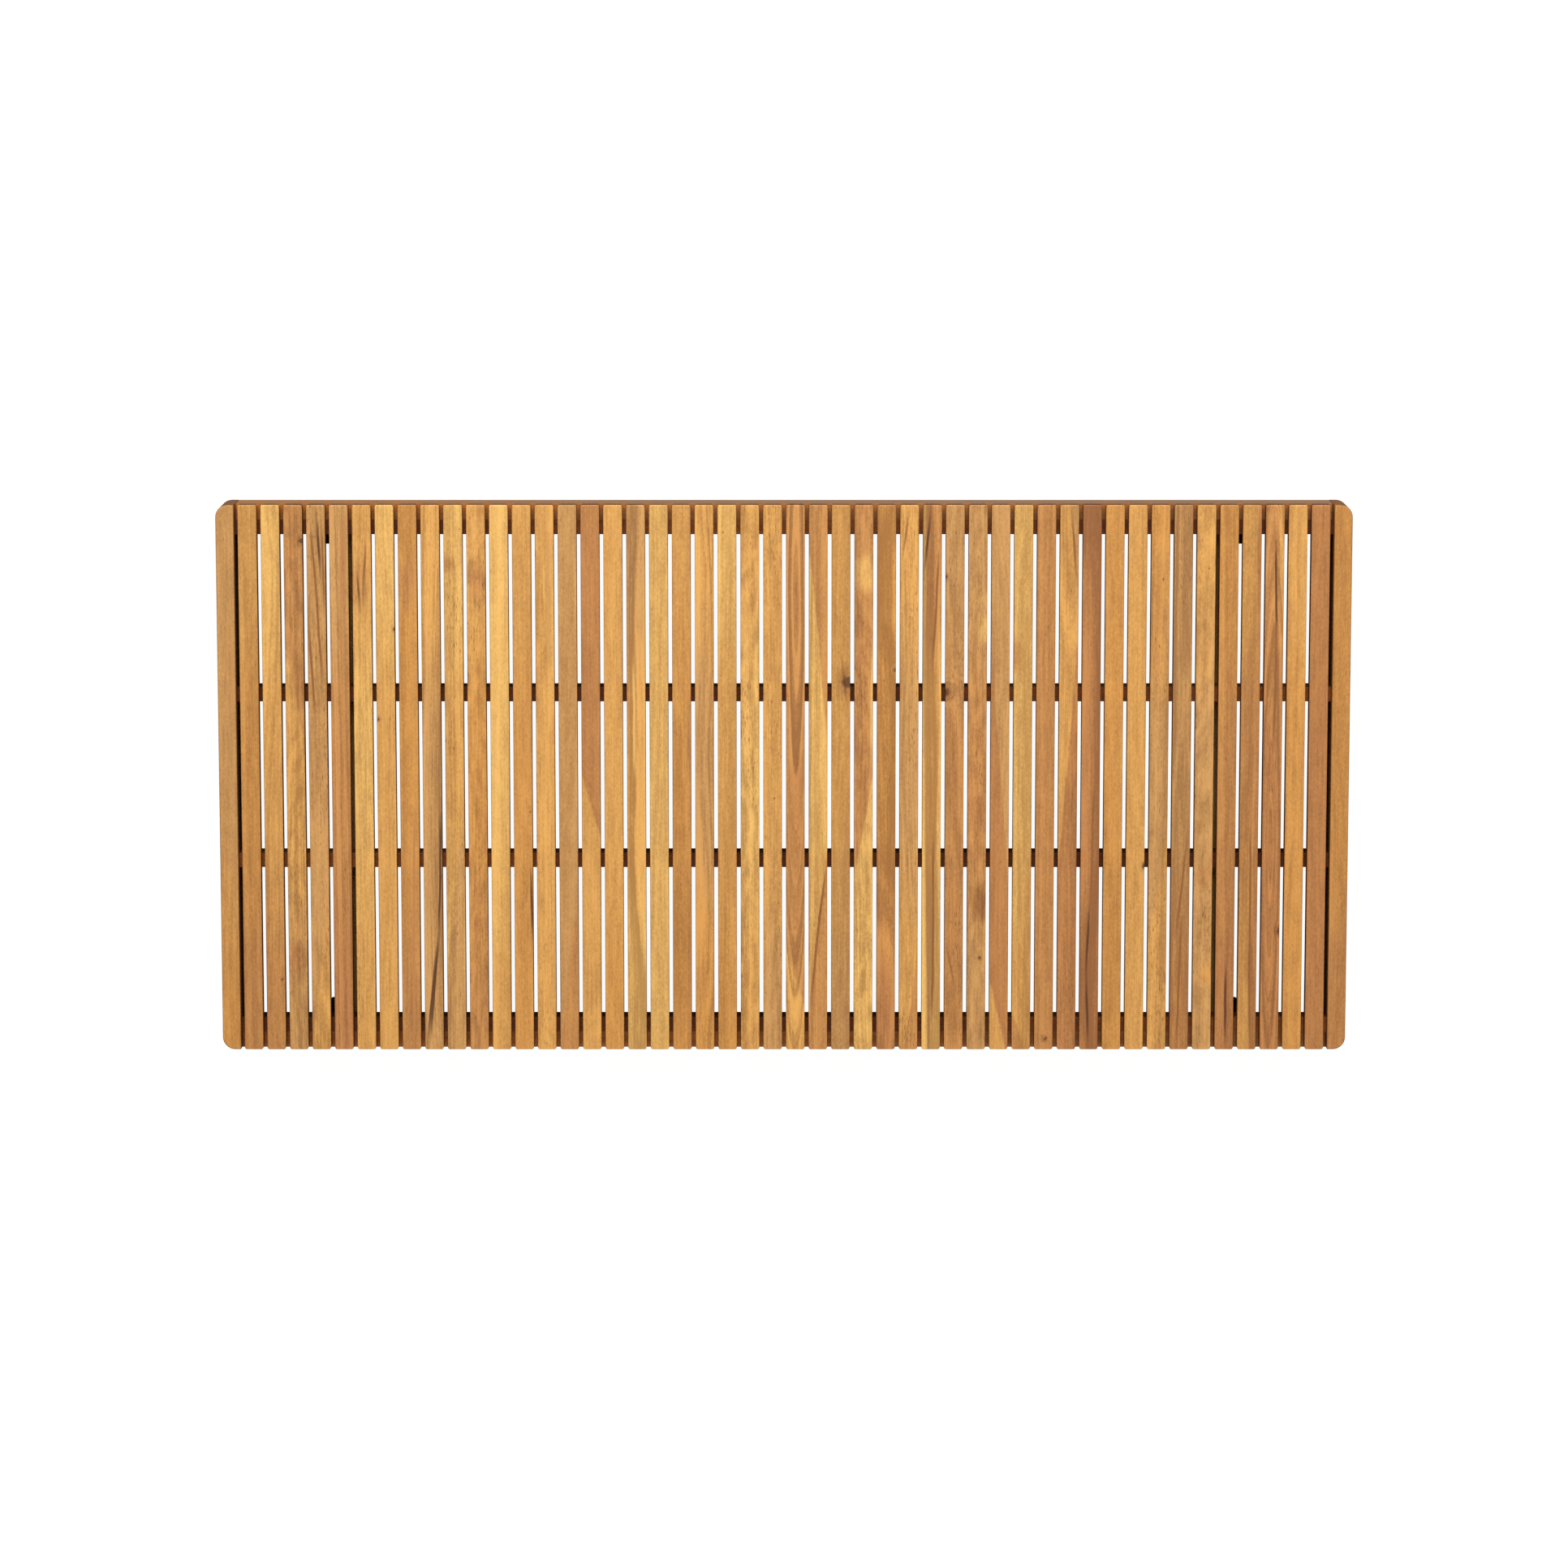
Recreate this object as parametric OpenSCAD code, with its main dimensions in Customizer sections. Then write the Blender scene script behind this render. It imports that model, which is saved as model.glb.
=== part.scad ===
// Slatted wooden bath mat: a rigid duckboard. Narrow slats lie side by side on four rails, boxed in by
// two end boards and two long aprons, and the whole stands on four rubber feet at the ends of two bearers.
// Origin: the middle of the mat, on the surface that it stands on.
// +X runs along the mat's length, +Y along its slats, +Z up to the tread.

/* [Tread] */
// Number of slats
slat_count = 48; // [20:1:48]
// Width of a slat's face
slat_w = 16.5; // [12:0.5:30]
// Thickness of a slat
slat_t = 12; // [9:0.5:20]
// Length of a slat, which is also the width of the mat
slat_l = 485; // [300:5:700]
// Open gap between neighbouring slats, where water drains
drain_gap = 3.5; // [2:0.5:8]
// Radius of the eased top edges of a slat
slat_ease = 1; // [0.4:0.1:2]
// Radius of a slat's end corners, seen from above
slat_corner_r = 2.2; // [0.5:0.1:3]

/* [Frame] */
// Thickness of the two end boards
end_board_t = 16; // [14:0.5:30]
// Radius of the mat's four outer corners
board_corner_r = 11; // [3:0.5:11]
// Radius of the eased edges of the end boards and aprons
frame_ease = 1.5; // [0.5:0.1:2]
// Thickness of the two long aprons
apron_t = 14; // [12:0.5:24]
// Width of a rail
rail_w = 13; // [12:0.5:20]
// Height of a rail
rail_h = 24; // [18:1:32]
// Clear height under the end boards and aprons
board_lift = 4; // [2:0.5:6]

/* [Bearers and feet] */
// The slat, counted from each end, that the cross bearer lies under
bearer_slat = 5; // [3:1:9]
// Width of a cross bearer
bearer_w = 18; // [14:0.5:30]
// Thickness of a cross bearer
bearer_t = 8; // [6:0.5:12]
// Thickness of rubber under the bearer
foot_base_t = 6; // [5:0.5:10]
// Thickness of rubber on each side of the bearer
foot_wall = 6; // [3:0.5:10]
// Length of a foot along the bearer
foot_l = 24; // [18:1:40]

/* [Joints and screws] */
// Length of the stub tenons on the rails and aprons
tenon_l = 8; // [5:0.5:8]
// Thickness of the stub tenons
tenon_w = 7; // [5:0.5:7]
// Height of the shoulder above and below each tenon
tenon_shoulder = 4; // [2:0.5:5]
// Clearance round each tenon and screw, and beside each bearer in its foot
fit_gap = 0.1; // [0.05:0.05:0.2]
// Shank diameter of the screws
screw_d = 3.5; // [3:0.1:4]
// Depth that a screw bites into its slat
screw_bite = 6; // [4:0.5:6]

/* [Hidden] */
$fn = 48;
rail_names = ["front_outer_rail", "front_inner_rail", "back_inner_rail", "back_outer_rail"];
slat_pitch = slat_w + drain_gap;
inner_x = (slat_count * slat_pitch + drain_gap) / 2; // inner faces of the end boards
outer_x = inner_x + end_board_t;
half_w = slat_l / 2;
apron_y = half_w - apron_t; // inner faces of the aprons
outer_rail_y = apron_y - rail_w / 2;
bearer_x = ((slat_count + 1) / 2 - bearer_slat) * slat_pitch;
rail_z = foot_base_t + bearer_t; // underside of the rails
tread_z = rail_z + rail_h; // underside of the slats
top_z = tread_z + slat_t;
apron_h = tread_z - board_lift;
board_h = top_z - board_lift;
foot_w = bearer_w + 2 * (foot_wall + fit_gap);
foot_corner_r = 2;
head_r = 3.3;
head_h = 1.8;
head_recess = 2; // a foot screw's head stays this far above the floor
head_seat_r = head_r + 0.9; // room for the head and its driver in the sole
drive_w = 2.4; // the square socket in a screw's head
drive_depth = 1.2;
tip_h = 3; // the screws end in a point
groove_w = 1.5; // anti-slip grooves across the sole of a foot
groove_depth = 1;
groove_pitch = 3.5;
groove_count = 3;
cut = 0.5; // cutters stand this far out of what they cut
wood_colors = [
    ["L", [0.90, 0.71, 0.44]],
    ["G", [0.86, 0.61, 0.31]],
    ["T", [0.76, 0.58, 0.36]],
    ["B", [0.67, 0.46, 0.26]],
    ["R", [0.72, 0.44, 0.24]]
];
frame_color = [0.79, 0.56, 0.30];
rail_color = [0.55, 0.37, 0.20];
// Tone of each slat, from the left: light, golden, tan, brown or reddish
slat_tones = "GLBTRLLBTLRLGTLBLBLBTGTLRLTLBLBTBTLGLRGLTBTBGBGR";

function slat_name(i) = str("slat_", i < 10 ? "0" : "", i);
function slat_x(i) = (i - (slat_count + 1) / 2) * slat_pitch;
function rail_y(k) = outer_rail_y * (2 * k / 3 - 1); // k = 0 to 3, evenly spaced from front to back
function tone_color(tone) = wood_colors[search(tone, wood_colors)[0]][1];
function on_bearer(i) = i == bearer_slat || i == slat_count + 1 - bearer_slat;
function on_foot(k) = k == 0 || k == 3;
// Height of the flat of a screw's head, which is flush with the lowest piece that it passes through
function head_z(i, k) = !on_bearer(i) ? rail_z : on_foot(k) ? head_recess : foot_base_t;

// A bar's section standing on the X axis, with its two top corners rounded
module eased_section(w, h, r) {
    translate([-w / 2, 0]) square([w, h - r]);
    translate([r - w / 2, 0]) square([w - 2 * r, h]);
    for (side = [-1, 1]) translate([side * (w / 2 - r), h - r]) circle(r);
}

// A rectangle with four round corners
module rounded_plan(w, l, r) {
    square([w, l - 2 * r], center = true);
    square([w - 2 * r, l], center = true);
    for (sx = [-1, 1], sy = [-1, 1]) translate([sx * (w / 2 - r), sy * (l / 2 - r)]) circle(r);
}

// A slat's outer shape: its section along Y, its side outline along X and its plan along Z, all at once
module slat_blank() {
    intersection() {
        rotate([90, 0, 0])
            linear_extrude(slat_l + 2 * cut, center = true) eased_section(slat_w, slat_t, slat_ease);
        rotate([90, 0, 90])
            linear_extrude(slat_w + 2 * cut, center = true) eased_section(slat_l, slat_t, slat_ease);
        linear_extrude(slat_t) rounded_plan(slat_w, slat_l, slat_corner_r);
    }
}

module slat(i) {
    color(tone_color(slat_tones[i - 1]))
    translate([slat_x(i), 0, tread_z])
    difference() {
        slat_blank();
        for (k = [0:3]) translate([0, rail_y(k), -cut])
            cylinder(r = screw_d / 2 + fit_gap, h = screw_bite + fit_gap + cut);
    }
}

// The space that a screw's shank and head need, from the underside of a bar upwards
module screw_way(h, sunk) {
    translate([0, 0, -cut]) cylinder(r = screw_d / 2 + fit_gap, h = h + 2 * cut);
    if (sunk) {
        cylinder(r1 = head_r + fit_gap, r2 = screw_d / 2 + fit_gap, h = head_h);
        translate([0, 0, -cut]) cylinder(r = head_r + fit_gap, h = cut);
    }
}

// A stub tenon on both ends of a bar that runs between the end boards, or the two mortises for it
module tenon_pair(z, h, gap) {
    tenon_h = h - 2 * tenon_shoulder;
    for (side = [-1, 1])
        translate([side * (inner_x + (tenon_l + gap) / 2), 0, z + tenon_shoulder + tenon_h / 2])
            cube([tenon_l + gap, tenon_w + 2 * gap, tenon_h + 2 * gap], center = true);
}

module rail(k) {
    color(rail_color)
    translate([0, rail_y(k), 0])
    difference() {
        union() {
            translate([-inner_x, -rail_w / 2, rail_z]) cube([2 * inner_x, rail_w, rail_h]);
            tenon_pair(rail_z, rail_h, 0);
        }
        for (i = [1:slat_count]) translate([slat_x(i), 0, rail_z]) screw_way(rail_h, !on_bearer(i));
    }
}

// The slats cover an apron's top, so only its lower edges are eased
module apron(side) {
    color(frame_color)
    translate([0, side * (half_w - apron_t / 2), 0]) {
        translate([0, 0, tread_z]) rotate([-90, 0, 90])
            linear_extrude(2 * inner_x, center = true) eased_section(apron_t, apron_h, frame_ease);
        tenon_pair(board_lift, apron_h, 0);
    }
}

// The right end board without its two outer corners, with its top edges eased
module board_bar() {
    translate([inner_x + end_board_t / 2, 0, 0])
    intersection() {
        rotate([90, 0, 0])
            linear_extrude(slat_l + 2 * cut, center = true) eased_section(end_board_t, board_h, frame_ease);
        rotate([90, 0, 90])
            linear_extrude(end_board_t + 2 * cut, center = true) eased_section(slat_l, board_h, frame_ease);
        linear_extrude(board_h) {
            square([end_board_t, slat_l - 2 * board_corner_r], center = true);
            translate([-end_board_t / 2, -half_w]) square([end_board_t - board_corner_r, slat_l]);
        }
    }
}

// A quarter turn of the end board's section, in the corner where x and y are positive
module board_corner() {
    intersection() {
        rotate_extrude() {
            square([board_corner_r, board_h - frame_ease]);
            square([board_corner_r - frame_ease, board_h]);
            translate([board_corner_r - frame_ease, board_h - frame_ease]) circle(frame_ease);
        }
        cube([board_corner_r, board_corner_r, board_h]);
    }
}

module end_board(side) {
    color(frame_color)
    difference() {
        mirror([side < 0 ? 1 : 0, 0, 0]) translate([0, 0, board_lift]) {
            board_bar();
            for (end = [0, 1]) mirror([0, end, 0])
                translate([outer_x - board_corner_r, half_w - board_corner_r, 0]) board_corner();
        }
        for (k = [0:3]) translate([0, rail_y(k), 0]) tenon_pair(rail_z, rail_h, fit_gap);
        for (end = [-1, 1])
            translate([0, end * (half_w - apron_t / 2), 0]) tenon_pair(board_lift, apron_h, fit_gap);
    }
}

module cross_bearer(side) {
    color(rail_color)
    translate([side * bearer_x, 0, foot_base_t])
    difference() {
        translate([-bearer_w / 2, -apron_y, 0]) cube([bearer_w, 2 * apron_y, bearer_t]);
        for (k = [0:3]) translate([0, rail_y(k), 0]) screw_way(bearer_t, !on_foot(k));
    }
}

// A countersunk wood screw that points up, with the flat of its head at z = 0
module screw(l) {
    difference() {
        union() {
            cylinder(r1 = head_r, r2 = screw_d / 2, h = head_h);
            translate([0, 0, head_h]) cylinder(d = screw_d, h = l - head_h - tip_h);
            translate([0, 0, l - tip_h]) cylinder(d1 = screw_d, d2 = screw_d / 4, h = tip_h);
        }
        translate([-drive_w / 2, -drive_w / 2, -cut]) cube([drive_w, drive_w, drive_depth + cut]);
    }
}

module screws() {
    color("silver")
    for (i = [1:slat_count], k = [0:3])
        translate([slat_x(i), rail_y(k), head_z(i, k)]) screw(tread_z + screw_bite - head_z(i, k));
}

// One foot: a block with a channel for the end of its bearer, from the apron's inner face at y = 0 inwards
module foot() {
    screw_y = outer_rail_y - apron_y;
    difference() {
        translate([0, -foot_l / 2, 0]) linear_extrude(rail_z) rounded_plan(foot_w, foot_l, foot_corner_r);
        translate([-bearer_w / 2 - fit_gap, -foot_l - cut, foot_base_t])
            cube([bearer_w + 2 * fit_gap, foot_l + 2 * cut, bearer_t + cut]);
        translate([0, screw_y, -cut]) cylinder(r = head_seat_r, h = head_recess + cut);
        translate([0, screw_y, head_recess]) screw_way(foot_base_t - head_recess, true);
        for (g = [1:groove_count])
            translate([-foot_w / 2 - cut, g * groove_pitch - foot_l - groove_w / 2, -cut])
                cube([foot_w + 2 * cut, groove_w, groove_depth + cut]);
    }
}

module rubber_feet() {
    color([0.07, 0.07, 0.07])
    for (sx = [-1, 1], sy = [-1, 1])
        translate([sx * bearer_x, sy * apron_y, 0]) mirror([0, sy < 0 ? 1 : 0, 0]) foot();
}

for (i = [1:slat_count]) slat(i);
end_board(-1);  // left_end_board
end_board(1);  // right_end_board
apron(-1);  // front_apron
apron(1);  // back_apron
for (k = [0:3]) rail(k);
cross_bearer(-1);  // left_cross_bearer
cross_bearer(1);  // right_cross_bearer
screws();
rubber_feet();
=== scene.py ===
# Looks of the slatted bath mat: oiled hardwood boards, black rubber feet and steel screws.
# Metres, in the frame of the model: +X along the mat, +Y along the slats, +Z up to the tread.
import bpy
import math
import random
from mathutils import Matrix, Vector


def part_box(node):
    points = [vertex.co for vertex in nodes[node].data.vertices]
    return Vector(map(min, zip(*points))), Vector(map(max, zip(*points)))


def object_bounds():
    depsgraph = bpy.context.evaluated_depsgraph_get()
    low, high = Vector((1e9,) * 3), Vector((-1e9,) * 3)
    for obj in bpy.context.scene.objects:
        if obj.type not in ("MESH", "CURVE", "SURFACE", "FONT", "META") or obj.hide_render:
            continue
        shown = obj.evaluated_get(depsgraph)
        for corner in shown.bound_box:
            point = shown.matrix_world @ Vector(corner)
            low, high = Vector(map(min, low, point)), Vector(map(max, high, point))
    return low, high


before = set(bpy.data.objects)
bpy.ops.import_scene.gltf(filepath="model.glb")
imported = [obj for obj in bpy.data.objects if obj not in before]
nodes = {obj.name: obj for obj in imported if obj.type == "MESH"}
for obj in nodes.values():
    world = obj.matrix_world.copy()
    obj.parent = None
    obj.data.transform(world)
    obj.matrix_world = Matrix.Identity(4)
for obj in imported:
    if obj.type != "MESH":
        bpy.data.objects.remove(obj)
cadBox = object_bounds()
matTop = cadBox[1].z
print("frame loaded:", len(nodes), "nodes")


# Shader maths

def paint(red, green, blue):
    # a colour as a paint chart gives it, 0 to 255, turned into the linear colour that a shader needs
    linear = [(c / 255) ** 2.2 for c in (red, green, blue)]
    return (*linear, 1.0)


class Shade:
    # one output socket of a finish, so that shader maths is written as an expression
    def __init__(self, finish, socket):
        self.finish = finish
        self.socket = socket

    def maths(self, operation, *values):
        return self.finish.add("ShaderNodeMath", {"operation": operation}, values)

    def __add__(self, other):
        return self.maths("ADD", self, other)

    def __radd__(self, other):
        return self.maths("ADD", other, self)

    def __sub__(self, other):
        return self.maths("SUBTRACT", self, other)

    def __rsub__(self, other):
        return self.maths("SUBTRACT", other, self)

    def __mul__(self, other):
        return self.maths("MULTIPLY", self, other)

    def __rmul__(self, other):
        return self.maths("MULTIPLY", other, self)

    def __truediv__(self, other):
        return self.maths("DIVIDE", self, other)

    def __rtruediv__(self, other):
        return self.maths("DIVIDE", other, self)

    def __pow__(self, other):
        return self.maths("POWER", self, other)


class Finish:
    # one material, built node by node around a Principled shader
    def __init__(self, name):
        self.material = bpy.data.materials.new(name)
        self.material.use_nodes = True
        self.tree = self.material.node_tree
        self.tree.nodes.clear()
        self.coords = self.add("ShaderNodeTexCoord", output="Object")
        self.facing = self.add("ShaderNodeTexCoord", output="Normal")

    def add(self, kind, settings=None, values=(), output=0):
        node = self.tree.nodes.new(kind)
        for name, value in (settings or {}).items():
            setattr(node, name, value)
        pairs = values.items() if isinstance(values, dict) else enumerate(values)
        for key, value in pairs:
            if isinstance(value, Shade):
                self.tree.links.new(value.socket, node.inputs[key])
            else:
                node.inputs[key].default_value = value
        return Shade(self, node.outputs[output]) if node.outputs else None

    def parts(self, vector):
        split = self.add("ShaderNodeSeparateXYZ", values=[vector])
        outputs = split.socket.node.outputs
        return [Shade(self, outputs[axis]) for axis in ("X", "Y", "Z")]

    def point(self, x, y, z):
        return self.add("ShaderNodeCombineXYZ", values=[x, y, z])

    def noise(self, where, detail=2.0, roughness=0.5):
        values = {"Vector": where, "Scale": 1.0, "Detail": detail, "Roughness": roughness}
        return self.add("ShaderNodeTexNoise", {"noise_dimensions": "3D"}, values)

    def evenNoise(self, perMetre, detail, upright=None):
        # noise over the whole piece, so many times in a metre, and as many upright unless told otherwise
        x, y, z = self.parts(self.coords)
        return self.noise(self.point(x * perMetre, y * perMetre, z * (upright or perMetre)), detail=detail)

    def lineNoise(self, where, detail=3.0, roughness=0.6):
        values = {"W": where, "Scale": 1.0, "Detail": detail, "Roughness": roughness}
        return self.add("ShaderNodeTexNoise", {"noise_dimensions": "1D"}, values)

    def between(self, value, low, high):
        # 0 below low, 1 above high, smooth between them; low may be the larger one
        values = {"Value": value, "From Min": low, "From Max": high}
        return self.add("ShaderNodeMapRange", {"interpolation_type": "SMOOTHSTEP"}, values)

    def mix(self, share, first, second):
        return self.add("ShaderNodeMix", {"data_type": "RGBA"}, {0: share, 6: first, 7: second}, output=2)

    def tint(self, share, first, second):
        return self.add("ShaderNodeMix", {"data_type": "RGBA", "blend_type": "MULTIPLY"},
                        {0: share, 6: first, 7: second}, output=2)

    def bump(self, height, strength, depth):
        return self.add("ShaderNodeBump", values={"Height": height, "Strength": strength,
                                                  "Distance": depth})

    def close(self, values):
        shader = self.add("ShaderNodeBsdfPrincipled", values=values)
        self.add("ShaderNodeOutputMaterial", values={"Surface": shader})
        return self.material


# Wood

woodTones = {  # the tones that the boards are sorted into, as seen on a freshly oiled face
    "honey": paint(242, 188, 106),
    "gold": paint(231, 170, 92),
    "amber": paint(222, 157, 81),
    "tan": paint(212, 157, 94),
    "brown": paint(208, 145, 82),
    "russet": paint(197, 133, 77),
    "driftwood": paint(196, 156, 118),
    "walnut": paint(150, 94, 46),
    "ink": paint(92, 54, 28),
}

grains = {  # how much each kind of figure shows on a board: growth bands, fibres, cloudiness, dark flecks
    "calm": {"bands": 0.50, "fibres": 0.42, "clouds": 0.35, "flecks": 0.30, "ringsPerMetre": 90},
    "striped": {"bands": 1.25, "fibres": 0.60, "clouds": 0.30, "flecks": 0.45, "ringsPerMetre": 190},
    "mottled": {"bands": 0.60, "fibres": 0.55, "clouds": 0.95, "flecks": 0.75, "ringsPerMetre": 110},
    "flecked": {"bands": 0.55, "fibres": 0.60, "clouds": 0.45, "flecks": 0.85, "ringsPerMetre": 120},
    "flamed": {"bands": 1.15, "fibres": 0.50, "clouds": 0.40, "flecks": 0.45, "ringsPerMetre": 260},
}

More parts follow.
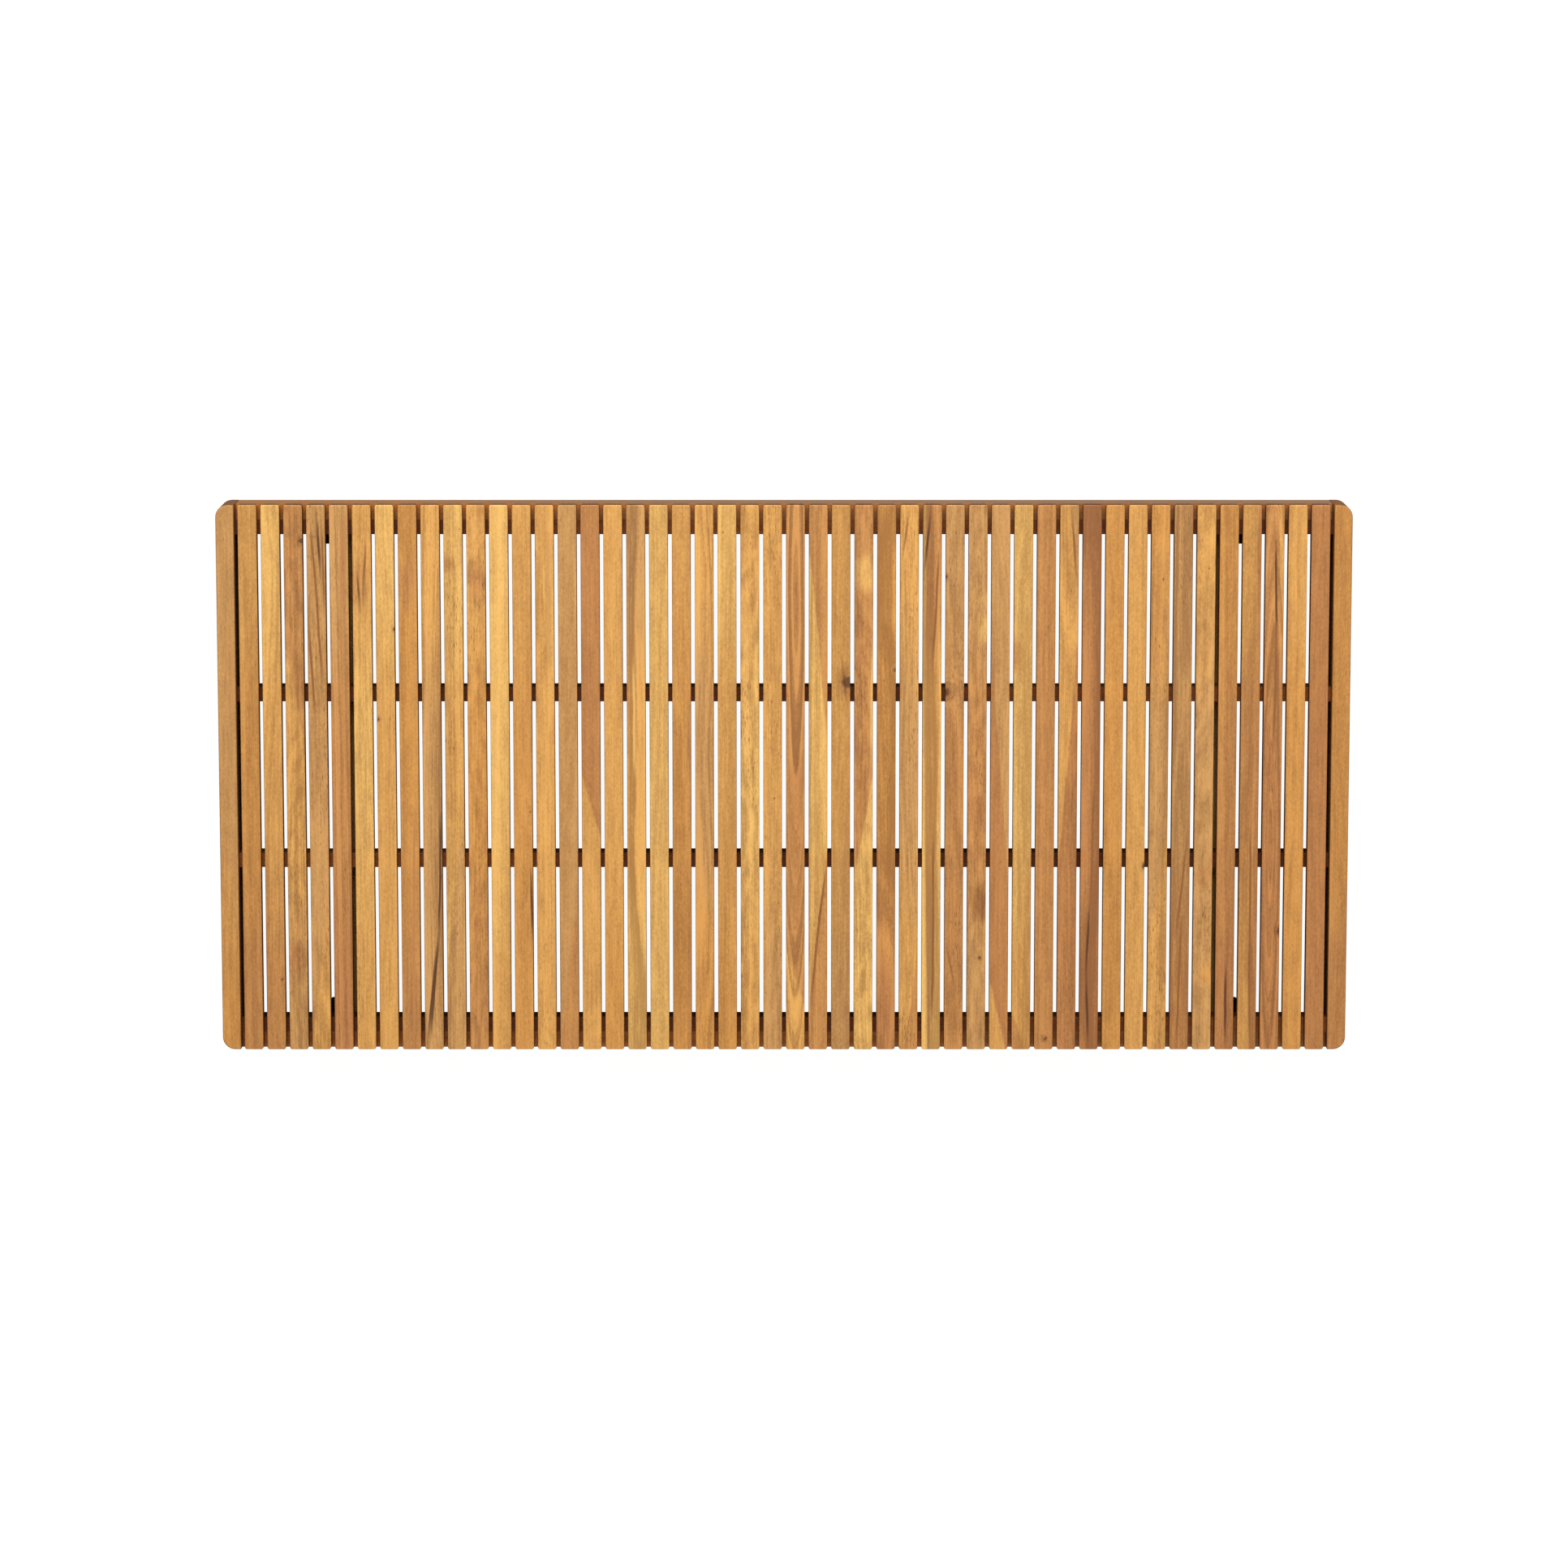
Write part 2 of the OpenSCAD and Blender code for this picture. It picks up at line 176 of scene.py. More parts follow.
# Every slat from the left: its tones at the back, in the middle and at the front, and its grain.
# Places on a board are (across, along): -1 is its left edge or front end, and 1 its right edge or back end.
# A seam is where the tone changes along a line between two places: the new tone is on its right or left.
# A vein is a thin line between two places, a cloud a soft patch (place, length in mm), and a knot likewise.
slatBoards = [
    {"tones": ("gold", "amber", "brown"), "grain": "calm"},
    {"tones": ("honey", "gold", "brown"), "grain": "calm", "knots": [(0.7, -0.74, 2.6)]},
    {"tones": ("tan", "gold", "tan"), "grain": "mottled", "knots": [(0.8, 0.87, 5.5)],
     "seams": [((-1, 0.5), (1, 0.1), "right", "brown")],
     "clouds": [(0.3, 0.84, 46, "brown"), (-0.2, -0.66, 42, "russet")],
     "veins": [((-0.9, -0.62), (0.5, -0.5), "ink")]},
    {"tones": ("gold", "brown", "gold"), "grain": "flecked",
     "seams": [((-1, 0.9), (1, 0.66), "right", "honey"), ((1, -0.3), (-0.8, -1), "left", "tan")],
     "veins": [((0.1, 0.98), (0.5, 0.72), "ink"), ((0.55, 0.95), (0.9, 0.6), "walnut"),
               ((-0.5, 0.95), (0.6, 0.35), "walnut"), ((-0.9, 0.6), (-0.2, 0.2), "walnut")]},
    {"tones": ("tan", "brown", "russet"), "grain": "striped",
     "veins": [((0.35, 1), (0.2, 0.3), "russet"), ((0.7, 1), (0.6, 0.5), "russet")]},
    {"tones": ("gold", "honey", "gold"), "grain": "flecked", "clouds": [(-0.3, 0.72, 40, "brown")],
     "veins": [((-0.6, 0.78), (-0.2, 0.6), "ink"), ((0.5, 0.9), (0.1, 0.66), "walnut")]},
    {"tones": ("honey", "gold", "gold"), "grain": "calm", "knots": [(0.95, 0.55, 3.5), (-0.8, 0.22, 3.5)]},
    {"tones": ("amber", "amber", "brown"), "grain": "calm", "clouds": [(0, 0.72, 45, "brown")],
     "veins": [((0.45, -0.1), (0.2, -1), "russet")]},
    {"tones": ("gold", "tan", "tan"), "grain": "striped",
     "veins": [((0.95, -0.1), (0.55, -0.6), "ink"), ((0.6, -0.55), (-0.5, -0.98), "ink"),
               ((0.35, -0.6), (-0.75, -0.98), "ink")]},
    {"tones": ("honey", "gold", "honey"), "grain": "flecked", "clouds": [(-0.8, 0.78, 16, "brown")],
     "seams": [((1, -0.1), (-0.7, -0.62), "right", "tan")]},
    {"tones": ("gold", "amber", "brown"), "grain": "mottled", "clouds": [(0.2, 0.72, 48, "russet")]},
    {"tones": ("honey", "honey", "gold"), "grain": "calm"},
    {"tones": ("gold", "amber", "amber"), "grain": "calm", "knots": [(0.8, -0.12, 1.5)],
     "veins": [((0.85, -0.3), (0.95, -0.62), "ink")]},
    {"tones": ("gold", "gold", "gold"), "grain": "flecked", "veins": [((0.3, 0.9), (0.4, 0.4), "tan")]},
    {"tones": ("honey", "honey", "brown"), "grain": "calm",
     "seams": [((1, 0.8), (-1, 0.36), "right", "brown"), ((0.7, -0.5), (-0.9, -0.95), "left", "tan")]},
    {"tones": ("gold", "gold", "gold"), "grain": "calm",
     "seams": [((-1, 0.02), (1, -0.25), "right", "russet")]},
    {"tones": ("gold", "gold", "amber"), "grain": "calm"},
    {"tones": ("tan", "gold", "honey"), "grain": "striped", "veins": [((-0.35, 0.45), (-0.2, 0), "honey")]},
    {"tones": ("honey", "honey", "honey"), "grain": "calm"},
    {"tones": ("gold", "amber", "amber"), "grain": "calm",
     "seams": [((0.95, 1), (0.5, -1), "right", "brown")]},
    {"tones": ("gold", "tan", "amber"), "grain": "striped"},
    {"tones": ("honey", "gold", "amber"), "grain": "calm", "knots": [(-0.4, 0.9, 1.2)]},
    {"tones": ("gold", "honey", "gold"), "grain": "mottled"},
    {"tones": ("gold", "gold", "tan"), "grain": "flecked", "knots": [(0.2, -0.07, 1.4)]},
    {"tones": ("gold", "brown", "gold"), "grain": "flamed", "tip": 0.62,
     "seams": [((-1, -0.62), (1, -0.85), "right", "brown")], "clouds": [(0.5, 0.02, 40, "russet")]},
    {"tones": ("honey", "honey", "gold"), "grain": "striped",
     "seams": [((-0.75, 0.75), (1, 0.15), "right", "brown"), ((0.9, -0.3), (-0.9, -0.85), "right", "brown")],
     "veins": [((0.9, -0.32), (-0.85, -0.84), "walnut")]},
    {"tones": ("gold", "gold", "tan"), "grain": "calm", "knots": [(0.7, 0.36, 15)],
     "veins": [((0.1, 0.45), (0.8, 0.25), "walnut")]},
    {"tones": ("brown", "brown", "gold"), "grain": "mottled", "clouds": [(0.1, 0.75, 34, "honey")],
     "seams": [((1, 0), (-0.6, -0.28), "right", "honey")], "veins": [((0.92, 0.5), (0.85, 0.05), "honey")]},
    {"tones": ("amber", "amber", "russet"), "grain": "striped", "knots": [(0.9, 0.4, 4)],
     "clouds": [(0.1, 0.6, 22, "gold")]},
    {"tones": ("gold", "tan", "gold"), "grain": "flecked", "veins": [((0.1, 1), (-0.8, 0.8), "walnut")],
     "seams": [((1, -0.6), (-0.2, -1), "right", "brown")]},
    {"tones": ("brown", "gold", "tan"), "grain": "striped",
     "seams": [((1, 0.6), (0.35, -0.3), "right", "honey"), ((-0.75, 1), (-0.7, 0.75), "left", "honey")],
     "veins": [((-0.1, 1), (-0.8, 0.74), "ink"), ((0.8, 0.85), (0, 0.4), "walnut"),
               ((0.25, -0.2), (0.15, -0.9), "walnut")]},
    {"tones": ("tan", "brown", "brown"), "grain": "flecked", "knots": [(-0.9, 0.74, 3.5), (-0.85, 0.32, 9)],
     "veins": [((-0.8, -0.6), (0.2, -0.78), "walnut")]},
    {"tones": ("tan", "brown", "tan"), "grain": "mottled", "knots": [(0.35, -0.66, 4)],
     "clouds": [(0.8, 0.55, 26, "honey"), (0.1, -0.1, 28, "russet"), (0.2, -0.45, 36, "walnut")]},
    {"tones": ("tan", "tan", "brown"), "grain": "calm",
     "seams": [((-1, 0.5), (0.9, -0.35), "left", "russet"), ((-0.9, -0.75), (0.8, -1), "left", "gold")]},
    {"tones": ("honey", "honey", "gold"), "grain": "calm", "clouds": [(-0.95, 0.45, 36, "brown")],
     "seams": [((-1, -0.84), (0.3, -1), "left", "brown")]},
    {"tones": ("brown", "brown", "brown"), "grain": "calm", "knots": [(0.2, -0.96, 4)]},
    {"tones": ("gold", "gold", "brown"), "grain": "striped", "veins": [((0.2, 1), (0.9, 0.7), "walnut")],
     "seams": [((1, 0.5), (-0.9, -0.3), "right", "russet"), ((0.2, 1), (1, 0.75), "right", "tan")]},
    {"tones": ("russet", "russet", "russet"), "grain": "striped",
     "veins": [((0.35, 0), (0.1, -0.5), "walnut"), ((0, -0.45), (-0.4, -0.75), "ink"),
               ((-0.3, -0.7), (-0.1, -1), "ink")]},
    {"tones": ("amber", "amber", "amber"), "grain": "calm"},
    {"tones": ("gold", "gold", "gold"), "grain": "calm", "knots": [(1, -0.32, 6)]},
    {"tones": ("amber", "tan", "tan"), "grain": "flecked", "knots": [(0.3, 0.73, 1.8)],
     "seams": [((1, -0.2), (-0.8, -0.6), "right", "gold")]},
    {"tones": ("tan", "tan", "brown"), "grain": "striped",
     "veins": [((0.8, -0.2), (-0.5, -0.6), "walnut"), ((0.2, -0.5), (-0.3, -1), "walnut")]},
    {"tones": ("gold", "tan", "tan"), "grain": "mottled", "knots": [(0.3, 0.77, 1.6)],
     "clouds": [(0.6, -0.72, 26, "amber"), (0.2, -0.36, 20, "brown")]},
    {"tones": ("amber", "brown", "russet"), "grain": "calm", "veins": [((0.1, -0.66), (0.15, -1), "ink")]},
    {"tones": ("gold", "brown", "gold"), "grain": "calm", "veins": [((0.15, -0.15), (0.35, -1), "walnut")],
     "seams": [((0.6, 0.4), (0.2, -1), "right", "russet")]},
    {"tones": ("brown", "russet", "russet"), "grain": "flamed", "tip": -0.2, "knots": [(0.95, -0.56, 7)],
     "seams": [((0.5, 1), (1, 0.2), "right", "gold")],
     "veins": [((0.1, 0.9), (0.3, 0.5), "ink"), ((0.3, 0.55), (0.1, 0.1), "walnut")]},
    {"tones": ("gold", "amber", "amber"), "grain": "calm"},
    {"tones": ("russet", "russet", "russet"), "grain": "calm"},
]

woodSettings = {
    # Each tone here is a share of the board's own tone
    "deep": (0.60, 0.53, 0.46),  # dark growth bands
    "pale": (1.16, 1.15, 1.08),  # pale growth bands
    "fleckTone": (0.45, 0.36, 0.28),
    "sideShade": (0.70, 0.62, 0.55),  # painted shade on the sides and the underside, which get less of the light from above
    "slatSideShade": (0.50, 0.40, 0.30),  # painted shade on the slats' sides, which see little of the light
    "edgeHighlight": (1.35, 1.35, 1.35),  # a painted highlight on the eased edges at the slats' ends
    "endTone": (0.54, 0.49, 0.44),  # end grain drinks the most
    "coveredTopShade": (0.80, 0.52, 0.24),  # painted shade on the tops of the frame, under the slats
    "jointTone": (0.25, 0.2, 0.16),  # the fine dark line where an apron meets an end board
    "jointWidth": 0.0012,
    "seamSoftness": 0.13,  # as a share of half the board's width
    "seamStrength": 0.92,
    "veinWidth": 0.0011,
    "veinStrength": 0.95,
    "cloudReach": 0.009,  # half the width of a cloud, across the board
    "cloudStrength": 0.75,
    "knotHalo": 0.6,
    "knotStrength": 0.85,
    "knotSwell": 0.003,  # how far the fibres bend round a knot
    "roughness": 0.46,
    "endRoughness": 0.2,  # how much rougher the end grain is, and then the sawn sides
    "sideRoughness": 0.1,
    "grainDepth": 0.0004,
    "grainStrength": 0.32,
    "shine": 0.42,
}

trunk = {  # where the growth bands come from, in metres
    "sway": 0.016,  # how far the fibres wander sideways
    "slant": (0.004, 0.022),  # the trunk's slope, sideways in each metre of board
    "aside": 0.03, "under": (0.02, 0.07),  # how far its axis lies beside and below a board
    "tipWidth": 1.5, "tipSlope": 0.016,  # the shape of the arches where the axis meets the face
    "fineRings": 5.5,  # fine bands in each growth band
    "cloudDrift": 900,  # how much the clouds follow the fibres' bends
    "smallestBend": 2,  # knots up to this long in mm don't bend the fibres
}

figures = {  # how often each repeats in a metre across and along the fibres, its detail and its roughness
    "wander": (9, 3.2, 1.0, 0.5),
    "patches": (55, 9, 2.0, 0.5),
    "clouds": (150, 42, 3.0, 0.5),
    "fibres": (520, 16, 4.0, 0.8),
    "speckle": (700, 320, 2.0, 0.7),
    "ticks": (1300, 150, 1.0, 0.5),
}

# How much each figure shows in the tone. Bands, fibres and clouds also follow the board's grain
figureShares = {"bands": 1.8, "fineBands": 0.5, "fibres": 2.1, "speckle": 0.7, "clouds": 1.3}


class Board(Finish):
    # a piece of wood, whose fibres run along Y, or along X for the pieces that lie lengthwise
    def __init__(self, name, size, middle, alongX=False):
        super().__init__(name)
        self.dice = random.Random(name)
        place = self.parts(self.coords)
        facing = self.parts(self.facing)
        acrossAxis, alongAxis = (1, 0) if alongX else (0, 1)
        self.across = place[acrossAxis] - middle[acrossAxis]
        self.along = place[alongAxis] - middle[alongAxis]
        self.up = place[2] - middle[2]
        self.halfAcross, self.halfAlong = size[acrossAxis] / 2, size[alongAxis] / 2
        self.endFacing, self.upFacing = facing[alongAxis], facing[2]
        self.shareAcross = self.across * (1 / self.halfAcross)
        self.shareAlong = self.along * (1 / self.halfAlong)
        self.shift = self.dice.uniform(0, 90)  # so that no two boards have the same figure

    def toned(self, share, colour, setting):
        # the colour multiplied by one of the tones in the wood's settings, as far as the share says
        return self.tint(share, colour, (*woodSettings[setting], 1.0))

    def figure(self, name, moveAcross=0.0, moveAlong=0.0):
        timesAcross, timesAlong, detail, roughness = figures[name]
        where = self.point(self.across * timesAcross + moveAcross, self.along * timesAlong + moveAlong,
                           self.up * timesAcross)
        return self.noise(where, detail=detail, roughness=roughness)

    def lineAcross(self, start, end):
        # how far across the board the line between two places is, at each place along it
        slope = (end[0] - start[0]) / (end[1] - start[1])
        return (self.shareAlong - start[1]) * slope + start[0]

    def seam(self, colour, start, end, side, tone):
        beyond = self.shareAcross - self.lineAcross(start, end)
        if side == "left":
            beyond = beyond * -1
        beyond = beyond + (self.patches - 0.5) * 0.9 + (self.bands - 0.5) * 0.35
        soft = woodSettings["seamSoftness"]
        share = self.between(beyond, -soft, soft) * woodSettings["seamStrength"]
        return self.mix(share, colour, woodTones[tone])

    def vein(self, colour, start, end, tone):
        wobble = (self.patches - 0.5) * 0.45 + (self.clouds - 0.5) * 0.12
        away = (self.shareAcross - self.lineAcross(start, end) + wobble) * self.halfAcross
        near = self.between(away * away, woodSettings["veinWidth"] ** 2 * 1.6, 0)
        # It fades out towards both ends, and where the board is cloudy
        fade = self.between(self.shareAlong, end[1] - 0.03, end[1] + 0.12)
        fade = fade * self.between(self.shareAlong, start[1] + 0.03, start[1] - 0.12)
        strength = near * fade * self.between(self.clouds, 0.05, 0.4)
        return self.mix(strength * woodSettings["veinStrength"], colour, woodTones[tone])

    def distanceFrom(self, place, reachAcross, reachAlong):
        # distances from a place, where 1 is the reach
        aside = (self.shareAcross - place[0]) * (self.halfAcross / reachAcross)
        ahead = (self.shareAlong - place[1]) * (self.halfAlong / reachAlong)
        return aside, ahead, (aside * aside + ahead * ahead) ** 0.5

    def cloud(self, colour, across, along, lengthInMm, tone):
        reach = woodSettings["cloudReach"]
        distance = self.distanceFrom((across, along), reach, lengthInMm / 2000)[2]
        distance = distance + (self.patches - 0.5) * 1.0 + (self.clouds - 0.5) * 0.8
        share = self.between(distance, 1.25, 0.35) * woodSettings["cloudStrength"]
        return self.mix(share, colour, woodTones[tone])

    def knotParts(self, across, along, lengthInMm):
        return self.distanceFrom((across, along), lengthInMm / 2200, lengthInMm / 1700)

    def knot(self, colour, across, along, lengthInMm):
        aside, ahead, distance = self.knotParts(across, along, lengthInMm)
        swirl = self.noise(self.point(aside * 1.1, ahead * 1.1, self.shift), detail=4.0, roughness=0.7)
        ragged = distance + (swirl - 0.5) * 2.0
        halo = self.between(ragged, 2.3, 0.7) * woodSettings["knotHalo"]
        core = self.between(ragged, 0.9, 0.4) * woodSettings["knotStrength"]
        colour = self.toned(halo, colour, "deep")
        return self.mix(core, colour, woodTones["ink"])


def makeWood(name, board, size, middle, alongX=False, shadedUnderSlats=False, isSlat=False):
    grain = grains[board["grain"]]
    wood = Board(name, size, middle, alongX)
    dice, shift = wood.dice, wood.shift
    across, along, up = wood.across, wood.along, wood.up
    shareAlong = wood.shareAlong

    # Slow bends of the fibres. The trunk's axis lies below the board and at a slight angle to it
    sway = (wood.figure("wander", moveAcross=shift) - 0.5) * trunk["sway"]
    slant = dice.choice((-1, 1)) * dice.uniform(*trunk["slant"])
    fromTrunk = across + sway + along * slant - dice.uniform(-trunk["aside"], trunk["aside"])
    under = up + sway * 0.6 + dice.uniform(*trunk["under"])
    if "tip" in board:
        # The trunk's axis comes up to the face here, so the growth bands close in pointed arches
        fromTrunk = across * trunk["tipWidth"] + sway * 0.8
        under = (shareAlong - board["tip"]) * trunk["tipSlope"] + sway * 0.5
    ringRadius = (fromTrunk * fromTrunk + under * under) ** 0.5
    for knot in board.get("knots", []):
        if knot[2] > trunk["smallestBend"]:
            away = wood.knotParts(*knot)[2]
            ringRadius = ringRadius + wood.between(away, 2.8, 0.3) * woodSettings["knotSwell"]

    rings = ringRadius * grain["ringsPerMetre"]
    wood.bands = wood.lineNoise(rings + shift, detail=3.0, roughness=0.62)
    fineBands = wood.lineNoise(rings * trunk["fineRings"] + shift * 2, detail=2.0)
    fibres = wood.figure("fibres", moveAcross=shift)
    speckle = wood.figure("speckle", moveAlong=shift)
    wood.clouds = wood.figure("clouds", moveAcross=sway * trunk["cloudDrift"], moveAlong=shift)
    ticks = wood.figure("ticks", moveAlong=shift)
    wood.patches = wood.figure("patches", moveAcross=shift)

    # The board's own tone, with its seams and clouds
    backTone, middleTone, frontTone = (woodTones[tone] for tone in board["tones"])
    place = shareAlong + (wood.patches - 0.5) * 0.9
    colour = wood.mix(wood.between(place, 0.1, 0.8), middleTone, backTone)
    colour = wood.mix(wood.between(place, -0.1, -0.8), colour, frontTone)
    for seam in board.get("seams", []):
        colour = wood.seam(colour, *seam)
    for cloud in board.get("clouds", []):
        colour = wood.cloud(colour, *cloud)

    # Growth bands, fibres and clouds darken or lighten it together
    tone = 0.5 + (wood.bands - 0.5) * (figureShares["bands"] * grain["bands"])
    tone = tone + (fineBands - 0.5) * figureShares["fineBands"]
    tone = tone + (fibres - 0.5) * (figureShares["fibres"] * grain["fibres"])
    tone = tone + (speckle - 0.5) * figureShares["speckle"]
    tone = tone + (wood.clouds - 0.5) * (figureShares["clouds"] * grain["clouds"])
    tone = wood.between(tone, 0.0, 1.0)
    colour = wood.mix(tone, wood.toned(1.0, colour, "deep"), wood.toned(1.0, colour, "pale"))

    # Veins, open pores, dark flecks and knots
    for vein in board.get("veins", []):
        colour = wood.vein(colour, *vein)
    fleckShare = wood.between(ticks + (wood.patches - 0.5) * 0.55, 0.65, 0.80) * grain["flecks"]
    colour = wood.mix(fleckShare, colour, wood.toned(1.0, colour, "fleckTone"))
    for knot in board.get("knots", []):
        colour = wood.knot(colour, *knot)
    if "shoulder" in board:
        # The joint lies this far from the middle of the board
        beyond = (along * along) ** 0.5 - board["shoulder"] + woodSettings["jointWidth"] * 1.5
        colour = wood.toned(wood.between(beyond, 0, woodSettings["jointWidth"]), colour, "jointTone")

    # Painted shade on the frame's tops under the slats and on the sides, a painted highlight on the slats'
    # eased ends, and darker end grain
    topShare = wood.between(wood.upFacing, 0.35, 0.8)
    # painted shade on the aprons' and rails' tops, which lie under the slats
    if shadedUnderSlats:
        colour = wood.toned(topShare, colour, "coveredTopShade")
    # painted shade on every face that doesn't face up
    colour = wood.toned(1 - topShare, colour, "slatSideShade" if isSlat else "sideShade")
    facingEnd = wood.endFacing * wood.endFacing
    endShare = wood.between(facingEnd, 0.45, 0.9)
    if isSlat:
        # painted highlight on the eased edges at the slats' ends
        colour = wood.toned(wood.between(facingEnd, 0.02, 0.1) * (1 - endShare), colour, "edgeHighlight")
    colour = wood.toned(endShare, colour, "endTone")

    roughness = woodSettings["roughness"] + (fibres - 0.5) * 0.10 + fleckShare * 0.2
    roughness = roughness + endShare * woodSettings["endRoughness"]
    roughness = roughness + (1 - topShare) * woodSettings["sideRoughness"]
    height = fibres * 0.5 + fineBands * 0.35 - fleckShare * 0.9  # flecks are open pores
    normal = wood.bump(height, woodSettings["grainStrength"], woodSettings["grainDepth"])
    return wood.close({"Base Color": colour, "Roughness": roughness, "Normal": normal,
                       "Specular IOR Level": woodSettings["shine"]})


def dress(node, material):
    nodes[node].data.materials.clear()
    nodes[node].data.materials.append(material)


def sizeOf(node):
    low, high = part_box(node)
    return [high[i] - low[i] for i in range(3)], [(high[i] + low[i]) / 2 for i in range(3)]


slatNames = sorted(name for name in nodes if name.startswith("slat_"))
for number, name in enumerate(slatNames):
    size, middle = sizeOf(name)
    dress(name, makeWood(name + "_wood", slatBoards[number % len(slatBoards)], size, middle, isSlat=True))
print("slats dressed:", len(slatNames))

shoulder = -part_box("left_end_board")[1][0]  # from the middle of the mat to where the aprons meet the ends
frameBoards = {  # do the piece's fibres run along X, and its board
    "left_end_board": (False, {"tones": ("tan", "tan", "amber"), "grain": "calm",
                               "veins": [((0.7, 0.6), (0.4, 0.2), "brown")]}),
    "right_end_board": (False, {"tones": ("amber", "amber", "brown"), "grain": "calm"}),
    "back_apron": (True, {"tones": ("driftwood", "driftwood", "tan"), "grain": "calm",
                          "shoulder": shoulder}),
    "front_apron": (True, {"tones": ("driftwood", "tan", "brown"), "grain": "calm", "shoulder": shoulder}),
    "left_cross_bearer": (False, {"tones": ("honey", "gold", "honey"), "grain": "mottled"}),
    "right_cross_bearer": (False, {"tones": ("gold", "honey", "honey"), "grain": "mottled"}),
    "back_outer_rail": (True, {"tones": ("walnut", "brown", "walnut"), "grain": "calm"}),
    "back_inner_rail": (True, {"tones": ("brown", "walnut", "walnut"), "grain": "calm"}),
    "front_inner_rail": (True, {"tones": ("walnut", "walnut", "brown"), "grain": "calm"}),
    "front_outer_rail": (True, {"tones": ("brown", "walnut", "walnut"), "grain": "calm"}),
}
for name, (alongX, board) in frameBoards.items():
    size, middle = sizeOf(name)
    shadedUnderSlats = name.endswith(("apron", "rail"))
    dress(name, makeWood(name + "_wood", board, size, middle, alongX, shadedUnderSlats))
print("frame dressed:", len(frameBoards))


# Rubber and steel

rubberLook = {
    "colour": paint(30, 30, 31),
    "dust": paint(62, 60, 57),
    "roughness": 0.72,
    "grainPerMetre": 2600, "grainStrength": 0.35, "grainDepth": 0.0003,
    "scuffsPerMetre": 220,
}


def makeRubber():
    finish = Finish("moulded_rubber")
    grain = finish.evenNoise(rubberLook["grainPerMetre"], detail=2.0)
    scuffs = finish.evenNoise(rubberLook["scuffsPerMetre"], detail=4.0)
    colour = finish.mix(finish.between(scuffs, 0.52, 0.78) * 0.5, rubberLook["colour"], rubberLook["dust"])
    roughness = rubberLook["roughness"] + (scuffs - 0.5) * 0.25
    normal = finish.bump(grain, rubberLook["grainStrength"], rubberLook["grainDepth"])
    return finish.close({"Base Color": colour, "Roughness": roughness, "Normal": normal})


steelLook = {
    "colour": paint(186, 185, 180),
    "dull": paint(138, 134, 126),
    "roughness": 0.3,
    "tarnishPerMetre": 700,
    "turning": (300, 9000),  # the lathe's marks: how many in a metre across the screw and along it
    "turningStrength": 0.2, "turningDepth": 0.0001,
}


def makeSteel():
    finish = Finish("screw_steel")
    tarnish = finish.evenNoise(steelLook["tarnishPerMetre"], detail=3.0)
    aroundScrew, alongScrew = steelLook["turning"]
    turning = finish.evenNoise(aroundScrew, detail=1.0, upright=alongScrew)
    colour = finish.mix(finish.between(tarnish, 0.4, 0.7), steelLook["colour"], steelLook["dull"])
    roughness = steelLook["roughness"] + (tarnish - 0.5) * 0.3
    normal = finish.bump(turning, steelLook["turningStrength"], steelLook["turningDepth"])
    return finish.close({"Base Color": colour, "Metallic": 1.0, "Roughness": roughness, "Normal": normal})


dress("rubber_feet", makeRubber())
dress("screws", makeSteel())
print("feet and screws dressed")


# Studio

studio = {
    "floorSize": 14,
    "floorGlow": 1.07,  # the floor is lit so brightly that it reads as white, even through the gaps
    "floorShadow": 0.1,  # how much of the mat's soft shadow still shows on it
    "floorColour": (0.86, 0.86, 0.85, 1),
    "floorBounce": (0.35, 0.35, 0.34, 1),  # how pale the floor is to the light that it sends to the mat
    "floorDrop": 0.0002,  # just under the soles, so that the two faces don't flicker
    "skyToMat": 0.64,  # the sky's strength on the mat
    "skyToCamera": 1.0,
    "softbox": {"size": (3.2, 2.2), "place": (0.2, 2.2, 2.8), "power": 80},
    "rim": {"size": (2.8, 0.5), "place": (0, 2.6, 0.45), "power": 14},  # low, along the back edge
}


def makeFloor():
    finish = Finish("pale_floor")
    seen = finish.add("ShaderNodeLightPath", output="Is Camera Ray")
    matt = finish.add("ShaderNodeBsdfDiffuse", values={"Color": studio["floorColour"]})
    glow = finish.add("ShaderNodeEmission", values={"Color": (1, 1, 1, 1), "Strength": studio["floorGlow"]})
    shadowed = finish.add("ShaderNodeMixShader", values=[studio["floorShadow"], glow, matt])
    bounce = finish.add("ShaderNodeBsdfDiffuse", values={"Color": studio["floorBounce"]})
    both = finish.add("ShaderNodeMixShader", values=[seen, bounce, shadowed])
    # From below the floor is clear, so that the underside of the mat can be looked at
    underneath = finish.add("ShaderNodeNewGeometry", output="Backfacing")
    clear = finish.add("ShaderNodeBsdfTransparent")
    surface = finish.add("ShaderNodeMixShader", values=[underneath, both, clear])
    finish.add("ShaderNodeOutputMaterial", values={"Surface": surface})
    return finish.material


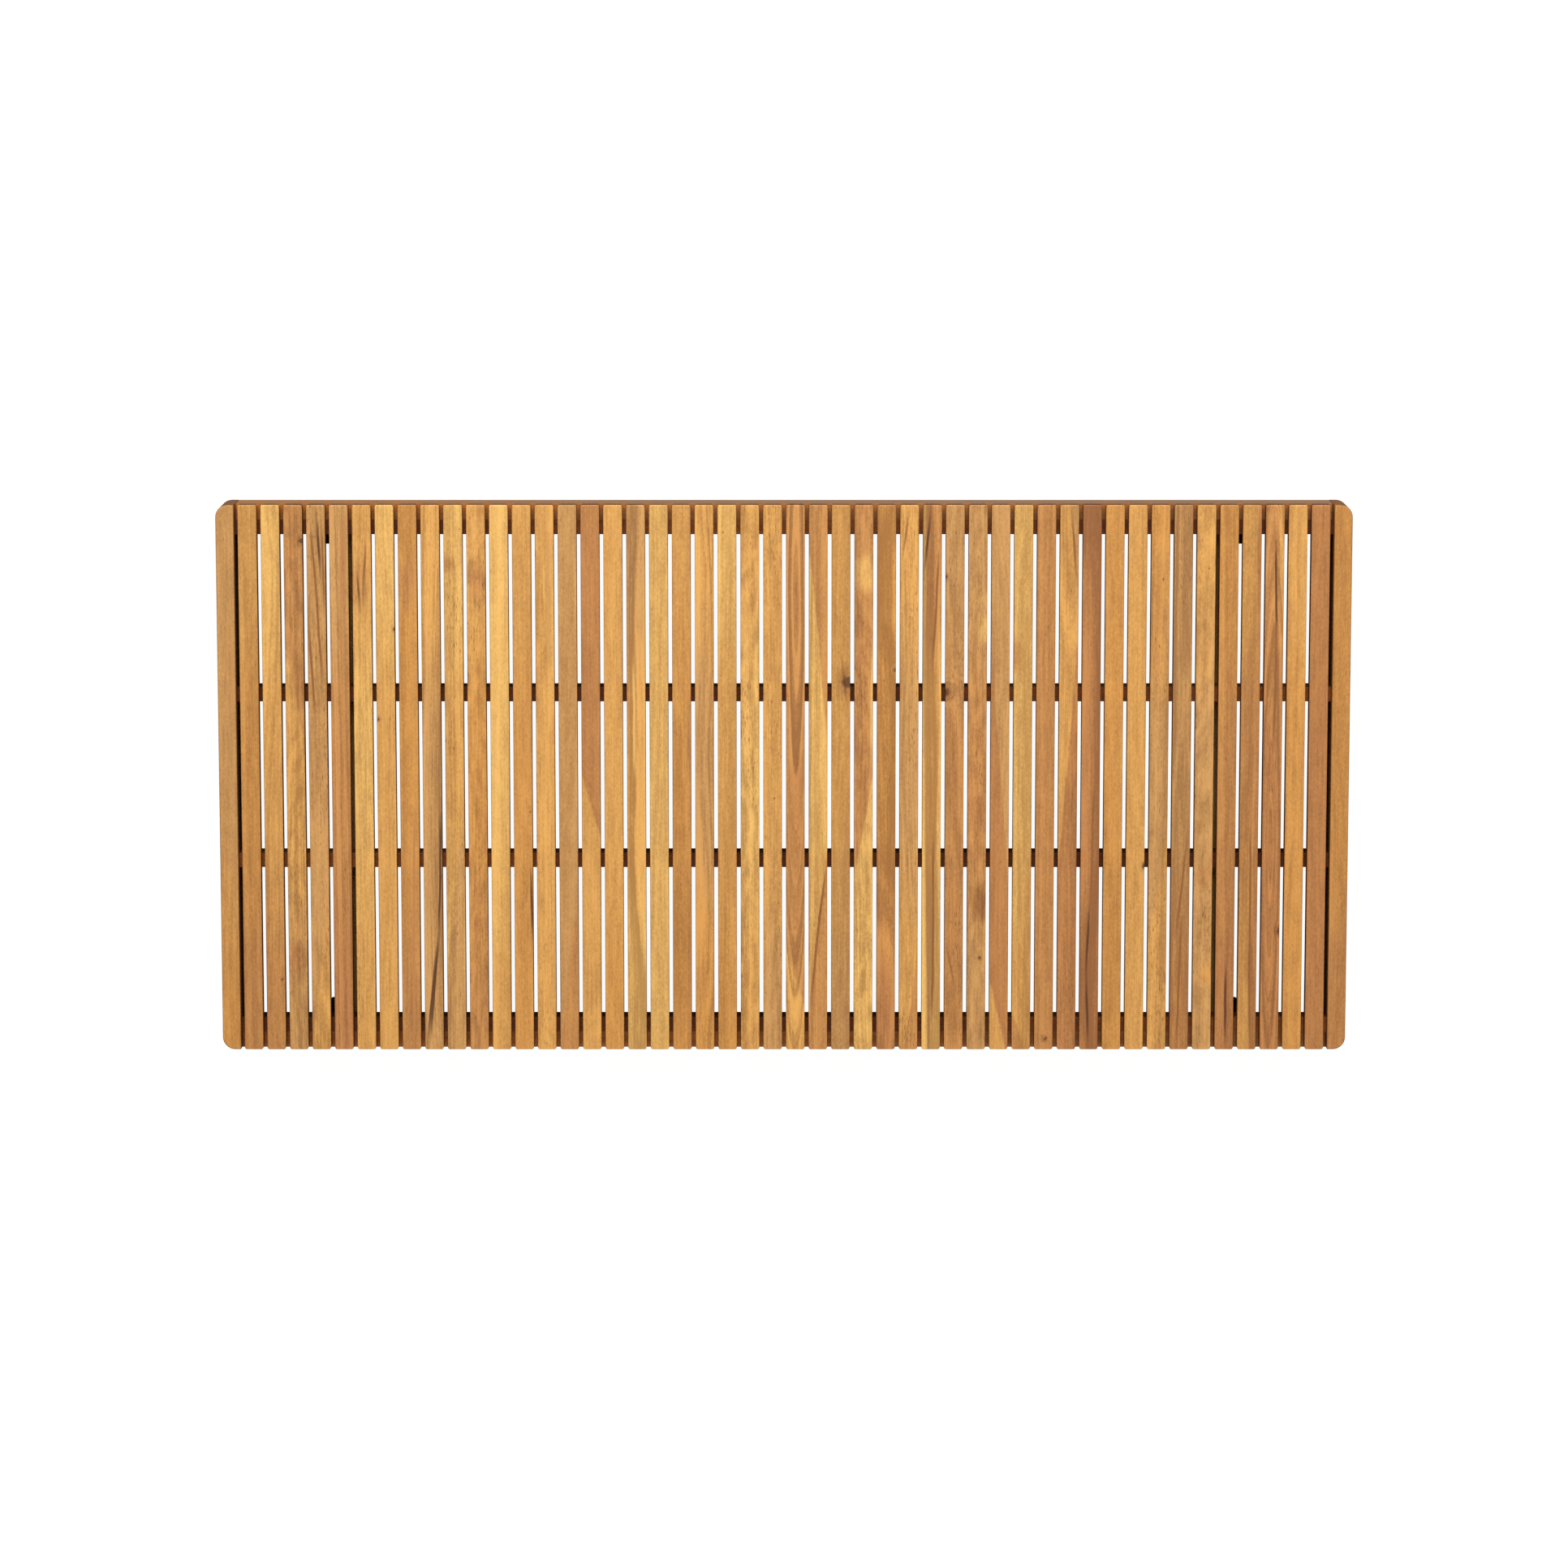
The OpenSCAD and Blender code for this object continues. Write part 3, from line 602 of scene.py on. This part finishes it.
half = studio["floorSize"] / 2
floorMesh = bpy.data.meshes.new("floor")
floorCorners = [(-half, -half, 0), (half, -half, 0), (half, half, 0), (-half, half, 0)]
floorMesh.from_pydata(floorCorners, [], [(0, 1, 2, 3)])
floorMesh.materials.append(makeFloor())
floor = bpy.data.objects.new("floor", floorMesh)
floor.location.z = -studio["floorDrop"]
bpy.context.scene.collection.objects.link(floor)

world = bpy.data.worlds.new("studio")
bpy.context.scene.world = world
world.use_nodes = True
skyTree = world.node_tree
skyTree.nodes.clear()
skyPath = skyTree.nodes.new("ShaderNodeLightPath")
skyLevel = skyTree.nodes.new("ShaderNodeMapRange")
skyLevel.inputs["To Min"].default_value = studio["skyToMat"]
skyLevel.inputs["To Max"].default_value = studio["skyToCamera"]
skyBack = skyTree.nodes.new("ShaderNodeBackground")
skyOut = skyTree.nodes.new("ShaderNodeOutputWorld")
skyTree.links.new(skyPath.outputs["Is Camera Ray"], skyLevel.inputs["Value"])
skyTree.links.new(skyLevel.outputs["Result"], skyBack.inputs["Strength"])
skyTree.links.new(skyBack.outputs["Background"], skyOut.inputs["Surface"])

for name in ("softbox", "rim"):
    settings = studio[name]
    light = bpy.data.lights.new(name, "AREA")
    light.shape = "RECTANGLE"
    light.size, light.size_y = settings["size"]
    light.energy = settings["power"]
    lamp = bpy.data.objects.new(name, light)
    lamp.location = settings["place"]
    lamp.rotation_euler = (-math.atan2(lamp.location.y, lamp.location.z), 0, 0)  # aimed at the mat
    bpy.context.scene.collection.objects.link(lamp)
bpy.context.scene.view_settings.view_transform = "Standard"
print("studio lit")

cameraSetup = {"tiltDegrees": 8.6, "lens": 130.3, "distance": 5.0, "aimAlongSlats": -0.0043}
tilt = math.radians(cameraSetup["tiltDegrees"])
camera = bpy.data.cameras.new("camera")
camera.lens = cameraSetup["lens"]
eye = bpy.data.objects.new("camera", camera)
eye.location = (0, cameraSetup["aimAlongSlats"] + cameraSetup["distance"] * math.sin(tilt),
                matTop + cameraSetup["distance"] * math.cos(tilt))
eye.rotation_euler = (-tilt, 0, 0)
camera.clip_end = 50
bpy.context.scene.collection.objects.link(eye)
bpy.context.scene.camera = eye
